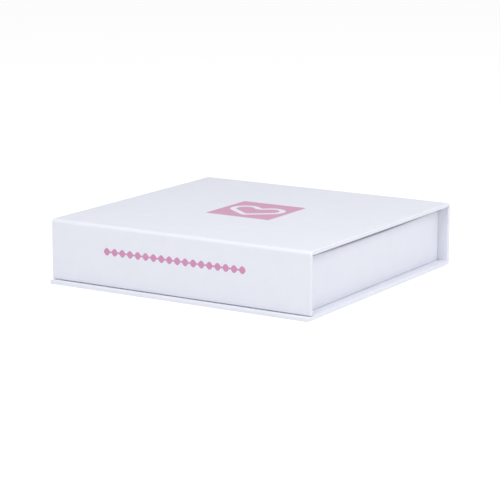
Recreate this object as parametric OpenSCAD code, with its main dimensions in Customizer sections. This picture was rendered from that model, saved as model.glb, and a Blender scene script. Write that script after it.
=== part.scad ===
// Book-style magnetic gift box of paper-wrapped greyboard, with a heart-shaped gua sha
// stone in a foam insert. It is drawn closed. X runs along the flap, +Y points to the
// spine, +Z is up, and the origin lies under the middle of the case.

/* [Case] */
// Outside width of the case, along the flap
case_width = 130; // [120:1:170]
// Outside depth of the case, from the base's front edge to the spine's back
case_depth = 127.6; // [110:0.2:170]
// Outside height of the closed case
case_height = 28.6; // [27:0.2:45]
// Thickness of the greyboard
board_t = 1.5; // [1:0.1:1.8]
// Thickness of the wrapping, lining and hinge papers, each
paper_t = 0.15; // [0.1:0.01:0.2]
// Length of free paper between a board's edge and the bend beside it
crease_slack = 0.5; // [0.45:0.05:0.8]
// Width of the outer paper that is glued round to a board's inner face
turn_in = 14; // [8:1:20]
// Distance of a lining paper from the free edges of its board
liner_inset = 2.5; // [1.5:0.5:5]

/* [Flap] */
// Distance of the flap's outer face behind the base's front edge
flap_setback = 1.9; // [0:0.1:3]
// Gap between the flap's lower edge and the base
flap_gap = 0.3; // [0.25:0.05:1]
// Gap between the flap's lining and the tray
flap_clearance = 0.25; // [0.2:0.05:1]

/* [Closure] */
// Diameter of the magnets and of the steel keepers
magnet_d = 12; // [8:0.5:14]
// Distance between the centres of the two magnets
magnet_pitch = 70; // [40:1:90]
// Height of the magnets' centres above the table
magnet_height = 13.5; // [11:0.5:16]
// Gap round a magnet or a keeper in its hole
magnet_play = 0.05; // [0.03:0.01:0.2]

/* [Tray] */
// Distance of the tray's sides inside the ends of the case
side_overhang = 4.8; // [2:0.2:8]
// Height of the lid's underside above the tray's rim
rim_drop = 2.3; // [0.8:0.1:4]
// Length of each leg of the paper stays round the tray's corners
stay_leg = 12; // [6:1:18]
// Thickness of the paper stays, which are pressed flush into the boards
stay_t = 0.1; // [0.05:0.01:0.15]

/* [Foam insert] */
// Depth of the foam's face below the tray's rim
foam_drop = 2.6; // [1:0.1:4]
// Thickness of the cut-out layer of foam
frame_t = 7.6; // [6.5:0.1:9]
// Gap between the foam and the tray, and between the stone and the foam under it
foam_gap = 0.2; // [0.05:0.05:0.5]
// Gap between the stone and the foam round it
recess_gap = 0.8; // [0.4:0.1:2]
// Radius of the two finger notches at the ends of the recess
notch_r = 11; // [8:0.5:12]
// Distance of the notches behind the middle of the stone
notch_back = 8; // [0:1:12]

/* [Stone] */
// Width of the stone across its two lobes
stone_width = 78; // [70:1:82]
// Depth of the stone, from its lobes to its tip
stone_depth = 57; // [52:1:62]
// Thickness of the stone
stone_t = 6; // [5:0.1:6.4]
// Radius of a lobe, in plan
lobe_r = 20; // [17:0.5:23]
// Radius of the tip, in plan
tip_r = 8; // [5:0.5:11]
// Radius of the cleft between the lobes
cleft_r = 5; // [2:0.5:8]
// Radius of the polished edge all round
edge_r = 2.4; // [1:0.1:2.4]

/* [Hidden] */

cut = 1; // how far a cutting shape runs past the face that it opens
spine_glue_drop = 2; // how far below the tray's rim the adhesive on the spine stops

panel_t = board_t + 2 * paper_t; // a board with paper on both faces
bend_r = board_t + paper_t; // outer radius of a crease, about the boards' inner edges
crease_layers = 2; // the outer paper and the lining, glued to each other
board_width = case_width - 2 * paper_t;

case_back = case_depth / 2;
case_front = -case_depth / 2;
flap_front = case_front + flap_setback;

// Centres of the three bends
back_bend_y = case_back - bend_r;
front_bend_y = flap_front + bend_r;
bottom_bend_z = bend_r;
top_bend_z = case_height - bend_r;

// Where each board starts beside a crease, and how long it is
base_start = back_bend_y - crease_slack;
base_length = base_start - case_front - paper_t;
spine_start = bottom_bend_z + crease_slack;
spine_length = top_bend_z - crease_slack - spine_start;
lid_start = base_start;
lid_length = lid_start - front_bend_y - crease_slack;
flap_start = top_bend_z - crease_slack;
flap_length = flap_start - panel_t - flap_gap - paper_t;

// The tray's outside and its levels
wall_t = board_t + 2 * paper_t;
tray_side = case_width / 2 - side_overhang;
tray_front = flap_front + panel_t + paper_t + flap_clearance;
tray_back = case_back - panel_t - paper_t;
tray_middle = (tray_front + tray_back) / 2;
floor_bottom = panel_t + paper_t;
floor_top = floor_bottom + board_t;
floor_middle = floor_bottom + board_t / 2;
rim = case_height - panel_t - rim_drop;

// The foam's levels
foam_bottom = floor_top + paper_t;
foam_top = rim - foam_drop;
frame_bottom = foam_top - frame_t;

// Where the adhesive lies on the base, inside the turned-in paper
glue_side = case_width / 2 - turn_in;
glue_front = case_front + turn_in;

// ---- shapes that repeat ----

// A block from its lowest corner to its highest
module slab(low, high) {
    translate(low) cube(high - low);
}

// A block as large as the tray, drawn in from its four sides
module tray_slab(inset, bottom, top) {
    slab(
        [-tray_side + inset, tray_front + inset, bottom],
        [tray_side - inset, tray_back - inset, top]
    );
}

// A panel is drawn flat with its outer face on z = 0 and its crease at y = 0.
// A free end is wrapped, and any other end runs on into the next crease.
module panel_board(length) {
    slab([-board_width / 2, 0, paper_t], [board_width / 2, length, paper_t + board_t]);
}

module panel_wrap(length, free_end) {
    outer_end = free_end ? length + paper_t : length;
    inner_end = free_end ? length : length + cut;
    turned_end = free_end ? outer_end - turn_in : length + cut;
    difference() {
        slab([-case_width / 2, 0, 0], [case_width / 2, outer_end, panel_t]);
        slab(
            [-board_width / 2, -cut, paper_t],
            [board_width / 2, inner_end, paper_t + board_t]
        );
        slab(
            [-case_width / 2 + turn_in, -cut, panel_t / 2],
            [case_width / 2 - turn_in, turned_end, panel_t + cut]
        );
    }
}

// The lining steps down from the turned-in paper onto the bare board in the middle,
// and covers the board's edge at each crease
module panel_liner(length, free_end) {
    half = case_width / 2 - liner_inset;
    far = free_end ? length + paper_t - liner_inset : length + paper_t;
    bare_half = case_width / 2 - turn_in;
    bare_far = free_end ? length + paper_t - turn_in : far;
    edge_bottom = crease_layers * paper_t;

    slab([-bare_half, -paper_t, panel_t - paper_t], [bare_half, bare_far, panel_t]);
    slab([-half, -paper_t, edge_bottom], [half, 0, panel_t]);
    difference() {
        slab([-half, -paper_t, panel_t], [half, far, panel_t + paper_t]);
        slab(
            [-bare_half + paper_t, -paper_t - cut, panel_t - cut],
            [bare_half - paper_t, free_end ? bare_far - paper_t : far + cut, panel_t + cut]
        );
    }
    if (!free_end) {
        slab([-half, length, edge_bottom], [half, far, panel_t]);
    }
}

// A quarter bend between two short flats, running along X. Its centre is the origin,
// and it bends from +Y to +Z.
module crease() {
    inner_r = bend_r - crease_layers * paper_t;
    rotate([90, 0, 90])
        linear_extrude(case_width, center = true) {
            difference() {
                circle(bend_r, $fn = 96);
                circle(inner_r, $fn = 96);
                translate([-2 * bend_r, -bend_r]) square([2 * bend_r, 2 * bend_r]);
                translate([-bend_r, -2 * bend_r]) square([2 * bend_r, 2 * bend_r]);
            }
            translate([inner_r, -crease_slack]) square([bend_r - inner_r, crease_slack]);
            translate([-crease_slack, inner_r]) square([crease_slack, bend_r - inner_r]);
        }
}

// Each panel's place in the closed case
module place_base() {
    translate([0, base_start, 0]) rotate([0, 0, 180]) children();
}

module place_spine() {
    translate([0, case_back, spine_start]) rotate([90, 0, 0]) children();
}

module place_lid() {
    translate([0, lid_start, case_height]) rotate([180, 0, 0]) children();
}

module place_flap() {
    translate([0, flap_front, flap_start]) rotate([-90, 0, 0]) children();
}

// The two discs of the closure, lying across a board whose front face is at y = front
module closure_discs(front, radius, thickness) {
    for (side = [-1, 1]) {
        translate([side * magnet_pitch / 2, front, magnet_height])
            rotate([-90, 0, 0])
                cylinder(h = thickness, r = radius, $fn = 96);
    }
}

// The five boards of the tray as one shell
module tray_shell() {
    difference() {
        tray_slab(paper_t, floor_bottom, rim - paper_t);
        tray_slab(paper_t + board_t, floor_top, rim + cut);
    }
}

// Part of one tray wall, with room for the stays
module tray_wall(low, high) {
    difference() {
        intersection() {
            tray_shell();
            slab(low, high);
        }
        stays();
    }
}

module stays() {
    leg = paper_t + stay_leg;
    difference() {
        tray_slab(paper_t, floor_bottom, rim - paper_t);
        tray_slab(paper_t + stay_t, floor_bottom - cut, rim + cut);
        slab(
            [-tray_side + leg, tray_front - cut, floor_bottom - cut],
            [tray_side - leg, tray_back + cut, rim + cut]
        );
        slab(
            [-tray_side - cut, tray_front + leg, floor_bottom - cut],
            [tray_side + cut, tray_back - leg, rim + cut]
        );
    }
}

// The stone in plan: two lobes that run down to a tip, with a round cleft between them
module heart() {
    offset(r = -cleft_r)
        offset(delta = cleft_r)
            for (side = [-1, 1]) {
                hull() {
                    translate([side * (stone_width / 2 - lobe_r), stone_depth / 2 - lobe_r])
                        circle(lobe_r, $fn = 64);
                    translate([0, tip_r - stone_depth / 2]) circle(tip_r, $fn = 32);
                }
            }
}

// ---- the base and the spine ----

module base_board() {
    color("darkgray") place_base() panel_board(base_length);
}

module base_wrap() {
    color("ghostwhite") place_base() panel_wrap(base_length, true);
}

module base_crease() {
    color("ghostwhite")
        translate([0, back_bend_y, bottom_bend_z]) mirror([0, 0, 1]) crease();
}

// Fills the two steps that the turned-in papers of the base and of the tray leave
module base_adhesive() {
    color("wheat") {
        slab(
            [-glue_side, glue_front, panel_t - paper_t],
            [glue_side, base_start, panel_t]
        );
        tray_slab(turn_in, panel_t, floor_bottom);
    }
}

module spine_board() {
    color("darkgray") place_spine() panel_board(spine_length);
}

module spine_wrap() {
    color("ghostwhite") place_spine() panel_wrap(spine_length, false);
}

module spine_liner() {
    color("white") place_spine() panel_liner(spine_length, false);
}

module spine_adhesive() {
    half = case_width / 2 - turn_in - paper_t;
    color("wheat")
        slab([-half, tray_back, floor_bottom], [half, tray_back + paper_t, rim - spine_glue_drop]);
}

// ---- the lid and the flap ----

module lid_board() {
    color("darkgray") place_lid() panel_board(lid_length);
}

module lid_wrap() {
    color("ghostwhite") place_lid() panel_wrap(lid_length, false);
}

module lid_liner() {
    color("white") place_lid() panel_liner(lid_length, false);
}

module lid_crease() {
    color("ghostwhite") translate([0, back_bend_y, top_bend_z]) crease();
}

module flap_board() {
    color("darkgray")
        difference() {
            place_flap() panel_board(flap_length);
            closure_discs(flap_front - cut, magnet_d / 2 + magnet_play, panel_t + 2 * cut);
        }
}

module flap_wrap() {
    color("ghostwhite") place_flap() panel_wrap(flap_length, true);
}

module flap_liner() {
    color("white") place_flap() panel_liner(flap_length, true);
}

module flap_crease() {
    color("ghostwhite")
        translate([0, front_bend_y, top_bend_z]) mirror([0, 1, 0]) crease();
}

module flap_magnets() {
    color("silver") closure_discs(flap_front + paper_t, magnet_d / 2, board_t);
}

// ---- the tray ----

module tray_floor() {
    color("darkgray") tray_slab(paper_t + board_t, floor_bottom, floor_top);
}

module tray_front_wall() {
    color("darkgray")
        difference() {
            tray_wall(
                [-tray_side, tray_front, floor_bottom],
                [tray_side, tray_front + paper_t + board_t, rim]
            );
            closure_discs(tray_front - cut, magnet_d / 2 + magnet_play, wall_t + 2 * cut);
        }
}

module tray_back_wall() {
    color("darkgray")
        tray_wall(
            [-tray_side, tray_back - paper_t - board_t, floor_bottom],
            [tray_side, tray_back, rim]
        );
}

module tray_left_wall() {
    color("darkgray") tray_side_wall();
}

module tray_right_wall() {
    color("darkgray") mirror([1, 0, 0]) tray_side_wall();
}

// The left wall, which stands between the front wall and the back wall
module tray_side_wall() {
    tray_wall(
        [-tray_side, tray_front + paper_t + board_t, floor_bottom],
        [-tray_side + paper_t + board_t, tray_back - paper_t - board_t, rim]
    );
}

module tray_corner_stays() {
    color("burlywood") stays();
}

// One strip of paper round the walls, turned under the floor and over the rim
module tray_wrap() {
    color("ghostwhite")
        difference() {
            tray_slab(0, panel_t, rim);
            tray_slab(wall_t, floor_top, rim + cut);
            tray_slab(turn_in, panel_t - cut, floor_middle);
            tray_shell();
        }
}

module tray_liner() {
    color("white") tray_slab(wall_t, floor_top, floor_top + paper_t);
}

module tray_keepers() {
    color("silver") closure_discs(tray_front + paper_t, magnet_d / 2, board_t);
}

// ---- the insert and the stone ----

module foam_pad() {
    color("dimgray") tray_slab(wall_t + foam_gap, foam_bottom, frame_bottom);
}

module foam_frame() {
    color("dimgray")
        difference() {
            tray_slab(wall_t + foam_gap, frame_bottom, foam_top);
            translate([0, tray_middle, frame_bottom - cut])
                linear_extrude(frame_t + 2 * cut) {
                    offset(delta = recess_gap) heart();
                    for (side = [-1, 1]) {
                        translate([side * stone_width / 2, notch_back])
                            circle(notch_r, $fn = 64);
                    }
                }
        }
}

module gua_sha_stone() {
    color("pink")
        translate([0, tray_middle, frame_bottom + foam_gap + edge_r])
            minkowski() {
                linear_extrude(stone_t - 2 * edge_r) offset(delta = -edge_r) heart();
                sphere(edge_r, $fn = 16);
            }
}

base_board();
base_wrap();
base_crease();
base_adhesive();
spine_board();
spine_wrap();
spine_liner();
spine_adhesive();
lid_board();
lid_wrap();
lid_liner();
lid_crease();
flap_board();
flap_wrap();
flap_liner();
flap_crease();
flap_magnets();
tray_floor();
tray_front_wall();
tray_back_wall();
tray_left_wall();
tray_right_wall();
tray_corner_stays();
tray_wrap();
tray_liner();
tray_keepers();
foam_pad();
foam_frame();
gua_sha_stone();
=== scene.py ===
import math

import bpy
import numpy as np
from bpy.props import FloatProperty, FloatVectorProperty, IntProperty, PointerProperty
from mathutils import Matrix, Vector


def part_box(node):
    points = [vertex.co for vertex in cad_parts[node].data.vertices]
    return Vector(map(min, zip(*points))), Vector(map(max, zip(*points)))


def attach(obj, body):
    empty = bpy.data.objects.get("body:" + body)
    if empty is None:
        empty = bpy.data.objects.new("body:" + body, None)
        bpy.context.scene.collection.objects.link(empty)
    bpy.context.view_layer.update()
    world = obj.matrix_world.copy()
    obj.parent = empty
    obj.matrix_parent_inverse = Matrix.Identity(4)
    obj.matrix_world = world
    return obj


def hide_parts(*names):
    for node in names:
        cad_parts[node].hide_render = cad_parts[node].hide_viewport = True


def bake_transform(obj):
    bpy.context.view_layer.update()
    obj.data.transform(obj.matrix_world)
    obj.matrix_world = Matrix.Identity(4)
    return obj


bl_info = {
    "name": "Magnetic gift box with a heart stone",
    "version": (1, 0, 0),
    "blender": (4, 5, 0),
    "location": "3D View > Sidebar > Gift box",
    "description": "Paper, linings, foam, prints and stone round the packed gift box",
    "category": "Object",
}

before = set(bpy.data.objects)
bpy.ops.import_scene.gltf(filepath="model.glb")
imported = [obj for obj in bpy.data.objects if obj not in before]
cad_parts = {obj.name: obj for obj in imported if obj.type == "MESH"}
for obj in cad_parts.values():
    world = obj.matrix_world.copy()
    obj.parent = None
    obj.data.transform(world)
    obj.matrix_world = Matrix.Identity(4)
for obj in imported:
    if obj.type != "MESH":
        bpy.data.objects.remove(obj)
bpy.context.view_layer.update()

MM = 0.001
SAME_PLACE = 1e-7  # points nearer than this become one
CRISP_FROM = math.radians(38)  # faces that meet at a larger angle keep a crisp edge
OUTLINE_STEP = 0.8 * MM  # between two points of the stone's outline
INNER_CORNER = 0.01 * MM  # radius of the tray paper's inner corners
# How far the paper is stretched round a board's edge, where it is 1 round the tray's rim and at a
# bend's two ends
EDGE_STRETCH = 0.4
X = np.array([1.0, 0.0, 0.0])
Y = np.array([0.0, 1.0, 0.0])
Z = np.array([0.0, 0.0, 1.0])


# ---- settings -------------------------------------------------------------------------------


def length_setting(name, description, default):
    """A length, which Blender shows in the scene's units."""
    return FloatProperty(
        name=name, description=description, default=default, precision=6,
        unit="LENGTH", subtype="DISTANCE",
    )


def colour_setting(name, description, default):
    """A colour, as its linear red, green and blue."""
    return FloatVectorProperty(
        name=name, description=description, default=default,
        size=3, min=0.0, max=1.0, subtype="COLOR",
    )


def share_setting(name, description, default):
    """A number from 0 to 1."""
    return FloatProperty(
        name=name, description=description, default=default,
        min=0.0, max=1.0, subtype="FACTOR",
    )


def power_setting(name, description, default):
    """A light's power, in watts."""
    return FloatProperty(name=name, description=description, default=default, unit="POWER")


class PaperSettings(bpy.types.PropertyGroup):
    """The papers' sizes, and the colours of paper, board and glue"""

    sheet: length_setting("Sheet", "Thickness of one sheet of paper", 0.15 * MM)
    turn_in: length_setting(
        "Turn-in", "Width of the paper glued round to a board's inner face", 14 * MM
    )
    edge_radius: length_setting(
        "Edge radius", "Radius of the paper where it is pulled round a board's edge", 0.35 * MM
    )
    fold_hole: length_setting(
        "Fold hole", "Radius of the hole left in the folded-in end of a crease", 0.15 * MM
    )
    step_width: length_setting(
        "Step width", "Width of the soft step where the lining leaves the turned-in paper", 0.9 * MM
    )
    tray_bow: length_setting(
        "Tray bow", "How far the foam pushes out the middle of the tray's left and right rims",
        1.05 * MM,
    )
    tray_radius: length_setting("Tray radius", "Radius of the tray's rim and foot", 0.5 * MM)
    back_rise: length_setting(
        "Back rise", "How much higher the tray's rim stands beside the spine", 0.4 * MM
    )
    front_rise: length_setting(
        "Front rise", "How much higher the tray's rim stands beside the flap", 0.3 * MM
    )
    cover: colour_setting("Cover", "Colour of the matt outer paper", (0.733, 0.750, 0.826))
    cover_roughness: share_setting("Cover roughness", "Roughness of the outer paper's film", 0.5)
    lining: colour_setting("Lining", "Colour of the lining paper", (0.740, 0.755, 0.812))
    lining_roughness: share_setting("Lining roughness", "Roughness of the lining paper", 0.6)
    board: colour_setting("Board", "Colour of the greyboard", (0.290, 0.270, 0.245))
    kraft: colour_setting("Kraft", "Colour of the brown paper stays", (0.420, 0.255, 0.130))
    glue: colour_setting("Glue", "Colour of the dried glue", (0.720, 0.610, 0.410))


class PrintSettings(bpy.types.PropertyGroup):
    """The square on the lid and the row on the flap"""

    ink: colour_setting("Lid ink", "Pink of the square on the lid", (0.595, 0.301, 0.462))
    flap_ink: colour_setting("Flap ink", "Pink of the row on the flap", (0.580, 0.245, 0.430))
    film: length_setting("Film", "Thickness of the printed film", 0.012 * MM)
    square: length_setting("Square", "Side of the printed square", 32.4 * MM)
    square_back: length_setting(
        "Square back", "Distance of the square behind the middle of the lid", 0.4 * MM
    )
    square_right: length_setting(
        "Square right", "Distance of the square to the right of the middle of the lid", 0.25 * MM
    )
    heart_height: length_setting("Heart", "Height of the heart left bare in the square", 19.5 * MM)
    heart_line: length_setting("Heart line", "Width of the bare line round the heart", 2.8 * MM)
    heart_front: length_setting(
        "Heart front", "Distance of the heart in front of the middle of the square", 1.5 * MM
    )
    row_length: length_setting("Row length", "Length of the row of lozenges", 71.4 * MM)
    row_height: length_setting("Row height", "Height of the lozenges", 3.4 * MM)
    row_level: length_setting("Row level", "Height of the row above the table", 17.3 * MM)
    row_left: length_setting("Row left", "Distance of the row's middle to the left", 1.5 * MM)
    lozenges: IntProperty(name="Lozenges", description="Number of lozenges", default=18, min=2)
    lozenge_share: share_setting("Lozenge share", "Half a lozenge's width, by their distance", 0.4)
    dot_share: share_setting("Dot share", "A dot's radius, by the lozenges' distance", 0.11)


class FoamSettings(bpy.types.PropertyGroup):
    """The foam that holds the stone"""

    colour: colour_setting("Colour", "Colour of the charcoal foam", (0.022, 0.022, 0.026))
    lip: length_setting("Lip", "Radius of the cut edges", 0.6 * MM)
    sag: length_setting("Sag", "How far the foam's face dips between the recess and the walls", 0.25 * MM)
    cell: length_setting("Cell", "Size of the foam's cells", 0.55 * MM)
    recess_gap: length_setting("Recess gap", "Gap between the stone and the foam", 0.8 * MM)
    notch_radius: length_setting("Notch radius", "Radius of the finger notches", 11 * MM)
    notch_back: length_setting(
        "Notch back", "Distance of the notches behind the middle of the stone", 8 * MM
    )
    notch_blend: length_setting(
        "Notch blend", "Length over which a notch runs into the recess", 1.2 * MM
    )


class StoneSettings(bpy.types.PropertyGroup):
    """The heart stone's shape and colours"""

    rose: colour_setting("Rose", "Deep colour of the quartz", (0.760, 0.330, 0.360))
    milk: colour_setting("Milk", "Colour of its milky clouds", (0.905, 0.670, 0.670))
    vein: colour_setting("Vein", "Colour of its healed cracks", (0.960, 0.860, 0.850))
    lobe_radius: length_setting("Lobe radius", "Radius of a lobe, in plan", 20 * MM)
    tip_radius: length_setting("Tip radius", "Radius of the tip, in plan", 8 * MM)
    cleft_radius: length_setting("Cleft radius", "Radius of the cleft, in plan", 5 * MM)
    polish: length_setting("Polish", "Radius of the polished edge all round", 2.4 * MM)
    swell: length_setting("Swell", "How far the middle of a face stands above its edge", 0.35 * MM)


class ClosureSettings(bpy.types.PropertyGroup):
    """The finish of the magnets and their keepers"""

    nickel: colour_setting("Nickel", "Colour of the magnets' plating", (0.66, 0.61, 0.54))
    nickel_polish: share_setting("Nickel polish", "Lowest roughness of the magnets", 0.18)
    zinc: colour_setting("Zinc", "Colour of the keepers' plating", (0.56, 0.58, 0.60))
    zinc_polish: share_setting("Zinc polish", "Lowest roughness of the keepers", 0.3)


class StageSettings(bpy.types.PropertyGroup):
    """The camera, the lights and the table"""

    azimuth: FloatProperty(
        name="Azimuth", description="Where the camera stands, round to the right of the flap",
        default=math.radians(31.876), subtype="ANGLE",
    )
    elevation: FloatProperty(
        name="Elevation", description="How far the camera looks down",
        default=math.radians(12.055), subtype="ANGLE",
    )
    distance: length_setting("Distance", "From the camera to the point it looks at", 0.86128)
    target_right: length_setting("Target right", "That point's place to the right", -1.831 * MM)
    target_up: length_setting("Target up", "That point's height", 10.85 * MM)
    lens: FloatProperty(name="Lens", description="Focal length", default=139.43, unit="CAMERA")
    film_width: FloatProperty(
        name="Film width", description="Width of the camera's sensor", default=36.0, unit="CAMERA"
    )
    room: FloatProperty(name="Room", description="Strength of the even white light", default=0.53)
    table: FloatProperty(name="Table", description="Glow of the backlit table", default=0.83)
    overhead: power_setting("Overhead", "Power of the softbox over the flap", 3.94)
    right: power_setting("Right", "Power of the softbox to the right", 2.63)
    front: power_setting("Front", "Power of the softbox in front", 0.82)
    softbox: length_setting("Softbox", "Side of each softbox", 0.45)
    table_reach: length_setting("Table reach", "Half of the table's width and depth", 6.0)


SETTINGS = {
    "box_paper": PaperSettings,
    "box_print": PrintSettings,
    "box_foam": FoamSettings,
    "box_stone": StoneSettings,
    "box_closure": ClosureSettings,
    "box_stage": StageSettings,
}


# ---- surfaces -------------------------------------------------------------------------------


def grid_faces(rows, columns, closed_rows=False, closed_columns=False):
    """The four-cornered faces of a grid of points, row after row. A closed direction joins its
    last line of points to its first."""
    index = np.arange(rows * columns).reshape(rows, columns)
    if closed_rows:
        index = np.vstack([index, index[:1]])
    if closed_columns:
        index = np.hstack([index, index[:, :1]])
    corners = [index[:-1, :-1], index[1:, :-1], index[1:, 1:], index[:-1, 1:]]
    return np.stack(corners, axis=2).reshape(-1, 4)


def shell(faces, outer, inner):
    """One closed wall between two surfaces with the same faces: the outer surface, the inner one
    turned over, and a strip along every edge that only one face has."""
    edges = np.stack([faces, np.roll(faces, -1, axis=1)], axis=2).reshape(-1, 2)
    unordered = np.sort(edges, axis=1)
    _, first, count = np.unique(unordered, axis=0, return_index=True, return_counts=True)
    rim = edges[first[count == 1]]
    there = len(outer)
    strips = np.column_stack([rim[:, 1], rim[:, 0], rim[:, 0] + there, rim[:, 1] + there])
    return np.vstack([outer, inner]), np.vstack([faces, faces[:, ::-1] + there, strips])


def side_cells(axis, value, first, second, outward):
    """The cells of one side of a block: the grid of first by second on the plane where the axis has
    that value, with their corners in order as seen from outside."""
    others = [i for i in range(3) if i != axis]
    u, v = np.meshgrid(first, second, indexing="ij")
    grid = np.full(u.shape + (3,), float(value))
    grid[..., others[0]] = u
    grid[..., others[1]] = v
    cells = np.stack([grid[:-1, :-1], grid[1:, :-1], grid[1:, 1:], grid[:-1, 1:]], axis=2)
    turned = -outward if axis == 1 else outward
    return cells if turned > 0 else cells[:, :, ::-1]


def block_cells(lines):
    """The cells of all six sides of a block, from the places of its grid's lines on each axis."""
    sides = []
    for axis in range(3):
        first, second = (lines[i] for i in range(3) if i != axis)
        sides.append(side_cells(axis, lines[axis][0], first, second, -1))
        sides.append(side_cells(axis, lines[axis][-1], first, second, 1))
    return sides


def weld(cells):
    """One mesh from separate cells: corners in the same place become one point."""
    corners = np.concatenate([c.reshape(-1, 4, 3) for c in cells]).reshape(-1, 3)
    places = np.round(corners / SAME_PLACE).astype(np.int64)
    _, first, index = np.unique(places, axis=0, return_index=True, return_inverse=True)
    return corners[first], index.reshape(-1, 4)


def rounding_lines(low, high, radius, between, round_low=True, round_high=True, steps=5):
    """Places along a block's side. Beside a rounded edge their distances from it are the radius
    times one minus the tangent of equal steps of angle, so that the rounded edge is even."""
    near = radius * (1 - np.tan(np.linspace(math.pi / 4, 0, steps + 1)))
    first = low + near if round_low else np.array([low])
    last = high - near[::-1] if round_high else np.array([high])
    return np.concatenate([first, between, last])


def rounded(points, core_low, core_high, radius):
    """Moves points on a block's surface onto its rounded surface: each goes to the nearest point of
    the block's core plus the radius along the way out from there. Also gives how far each point
    lies round an edge, from 0 on a flat to 1 in the middle of an edge."""
    core = np.clip(points, core_low, core_high)
    away = (points - core) / np.linalg.norm(points - core, axis=1, keepdims=True)
    round_edge = 1 - np.abs(away).max(axis=1)
    return core + radius * away, np.clip(round_edge / (1 - math.sqrt(0.5)), 0, 1)


def smooth_step(value, start, end):
    """0 before start, 1 after end, and 3t^2 - 2t^3 between them."""
    t = np.clip((value - start) / (end - start), 0, 1)
    return t * t * (3 - 2 * t)


def signed_volume(points, faces):
    """The volume that the faces enclose, negative if they point inwards: the sum over triangles of
    the triple product of their corners, divided by 6."""
    a, b, c, d = (points[faces[:, i]] for i in range(4))
    halves = np.einsum("ij,ij->i", a, np.cross(b, c)) + np.einsum("ij,ij->i", a, np.cross(c, d))
    return halves.sum() / 6


def make_piece(name, points, faces, material, body, nodes=(), edge=None):
    """Puts the arrays into a mesh with its faces outwards, and sets its finish, body and slot."""
    if signed_volume(points, faces) < 0:
        faces = faces[:, ::-1]
    mesh = bpy.data.meshes.new(name)
    mesh.from_pydata(points.tolist(), [], faces.tolist())
    if mesh.validate():
        raise RuntimeError(f"{name} has faces that Blender had to repair")
    mesh.polygons.foreach_set("use_smooth", np.ones(len(mesh.polygons), bool))
    mesh.set_sharp_from_angle(angle=CRISP_FROM)
    if edge is not None:
        round_edge = mesh.attributes.new("edge", "FLOAT", "POINT")
        round_edge.data.foreach_set("value", edge.astype(np.float32))
    mesh.materials.append(material)
    piece = bpy.data.objects.new(name, mesh)
    bpy.context.scene.collection.objects.link(piece)
    if body is not None:
        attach(piece, body)
    if nodes:
        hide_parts(*nodes)
    return piece


# ---- the case's panels ----------------------------------------------------------------------

# Each panel lies in its own frame: x across it, y from its crease to its other end, and z from its
# outer face to its inner face.
PANELS = {
    "base": {"body": "root", "along": -Y, "inward": Z, "free_end": True},
    "spine": {"body": "root", "along": Z, "inward": -Y, "free_end": False},
    "lid": {"body": "lid", "along": -Y, "inward": -Z, "free_end": False},
    "flap": {"body": "flap", "along": -Z, "inward": Y, "free_end": True},
}

# The two panels at each crease, by the ways that their outer faces look, and, as stretch, how far
# the middle of the bend is painted paler: a painted highlight along the fold
CREASES = {
    "base_crease": {"first": Y, "second": -Z, "bodies": ("root", "root"), "stretch": 0.2},
    "lid_crease": {"first": Y, "second": Z, "bodies": ("root", "lid"), "stretch": 0.0},
    "flap_crease": {"first": Z, "second": -Y, "bodies": ("lid", "flap"), "stretch": 0.3},
}


def corners_of(node):
    """The lowest and the highest corner of a CAD node's box."""
    low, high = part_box(node)
    return np.array(low), np.array(high)


def size_of(node):
    """The sides of a CAD node's box: its highest corner less its lowest."""
    low, high = corners_of(node)
    return high - low


def panel_size(name):
    """Width, length and thickness of a wrapped panel, from its CAD node."""
    size = size_of(f"{name}_wrap")
    return size[0], abs(size @ PANELS[name]["along"]), abs(size @ PANELS[name]["inward"])


def place_on_panel(name, points):
    """Takes points from the panel's own frame to the row frame."""
    low, high = corners_of(f"{name}_wrap")
    along, inward = PANELS[name]["along"], PANELS[name]["inward"]
    origin = np.where(along + inward < 0, high, low)
    origin[0] = (low[0] + high[0]) / 2
    return origin + points @ np.array([np.cross(along, inward), along, inward])


def corner_papers(name, paper):
    """The turned-in paper over the ends of a board at its creases, beside the lining: one thin
    block at each end of each crease."""
    width, length, thickness = panel_size(name)
    sheet = paper.sheet
    inside = size_of(f"{name}_liner")[0] / 2
    outside = width / 2 - 2 * sheet
    starts = [-sheet] if PANELS[name]["free_end"] else [-sheet, length]
    papers = []
    for start in starts:
        for ends in [(-outside, -inside), (inside, outside)]:
            papers.append(weld(block_cells([ends, (start, start + sheet), (2 * sheet, thickness)])))
    return papers


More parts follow.
